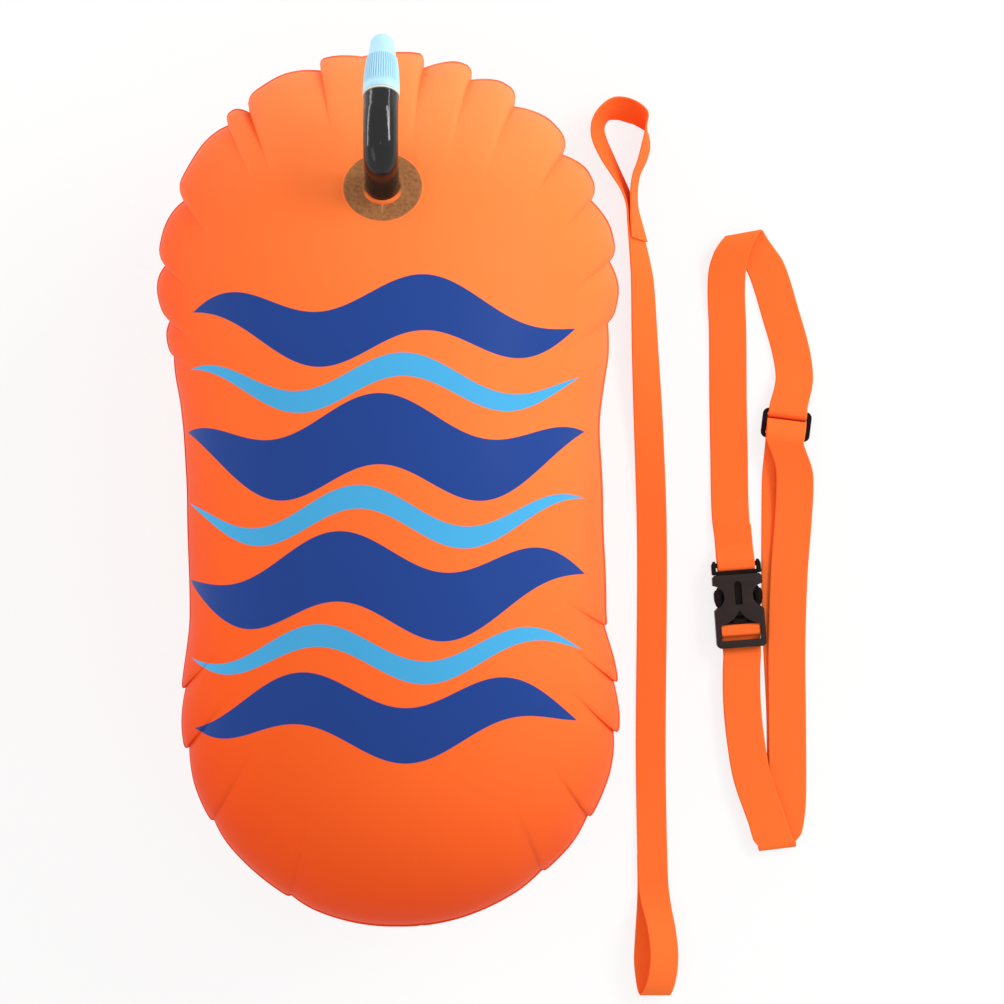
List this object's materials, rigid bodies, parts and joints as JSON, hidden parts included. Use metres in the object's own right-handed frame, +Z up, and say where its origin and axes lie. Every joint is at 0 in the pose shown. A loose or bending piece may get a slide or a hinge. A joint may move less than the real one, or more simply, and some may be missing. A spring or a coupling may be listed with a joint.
{
  "type": "open water swim buoy",
  "caption": "Inflated swim buoy of welded film with an oral inflation valve, a towing leash of webbing with a loop at each end, and a waist belt with a side release buckle.",
  "frame": {"origin": "on the floor, in the middle of the flat patch that the bag rests on", "axes": "+Z up, +Y along the bag to the valve end, +X to the leash and the belt"},
  "size_m": [0.4192, 0.6083, 0.2437],
  "materials": {
    "film_orange": "soft film, satin",
    "tube_black": "glossy",
    "body_cream": "satin",
    "seal_black": "matt",
    "light_blue": "satin",
    "web_orange": "woven webbing",
    "buckle_black": "satin"
  },
  "bodies": {
    "bag": {"front_panel": "film_orange", "back_panel": "film_orange", "tow_patch": "film_orange", "tow_loop": "web_orange", "valve_tube": "tube_black", "valve_body": "body_cream", "stem_seal_ring": "seal_black", "sealing_plug": "seal_black"},
    "lifting_ring": {"slip_ring": "body_cream"},
    "cap": {"mouthpiece": "light_blue"},
    "leash": {"leash_strap": "web_orange"},
    "belt": {"belt_strap": "web_orange", "buckle_socket": "buckle_black"},
    "plug": {"buckle_plug": "buckle_black"},
    "left_arm": {"buckle_arm_left": "buckle_black"},
    "right_arm": {"buckle_arm_right": "buckle_black"},
    "adjuster": {"strap_adjuster": "buckle_black"}
  },
  "joints": [
    {"name": "cap_lift", "type": "slide", "parent": "bag", "child": "lifting_ring", "axis": [0, 0.891, -0.454], "range_m": [0, 0.00333]},
    {"name": "cap_twist", "type": "hinge", "parent": "lifting_ring", "child": "cap", "pos_m": [0, 0.23099, 0.22621], "axis": [0, 0.891, -0.454], "range_deg": [0, 300]},
    {"name": "leash_lift", "type": "slide", "parent": "bag", "child": "leash", "axis": [0, 0, 1], "range_m": [0, 0.25]},
    {"name": "belt_lift", "type": "slide", "parent": "bag", "child": "belt", "axis": [0, 0, 1], "range_m": [0, 0.25]},
    {"name": "buckle_release", "type": "slide", "parent": "belt", "child": "plug", "axis": [-0.0732, 0.9973, 0], "range_m": [0, 0.026], "deforming": ["belt_strap", "buckle_arm_left", "buckle_arm_right"]},
    {"name": "left_arm_press", "type": "hinge", "parent": "plug", "child": "left_arm", "pos_m": [0.21623, -0.06136, 0.0063], "axis": [0, 0, 1], "range_deg": [0, 8], "stiffness_Nm_per_rad": 0.6},
    {"name": "right_arm_press", "type": "hinge", "parent": "plug", "child": "right_arm", "pos_m": [0.23857, -0.05972, 0.0063], "axis": [0, 0, -1], "range_deg": [0, 8], "stiffness_Nm_per_rad": 0.6},
    {"name": "adjuster_slide", "type": "slide", "parent": "belt", "child": "adjuster", "axis": [0.1219, 0.9925, 0], "range_m": [-0.012, 0.012], "deforming": ["belt_strap"]}
  ],
  "couplings": [
    {"joint": "cap_twist", "follows": "cap_lift", "rad_per_m": 1570.8}
  ]
}
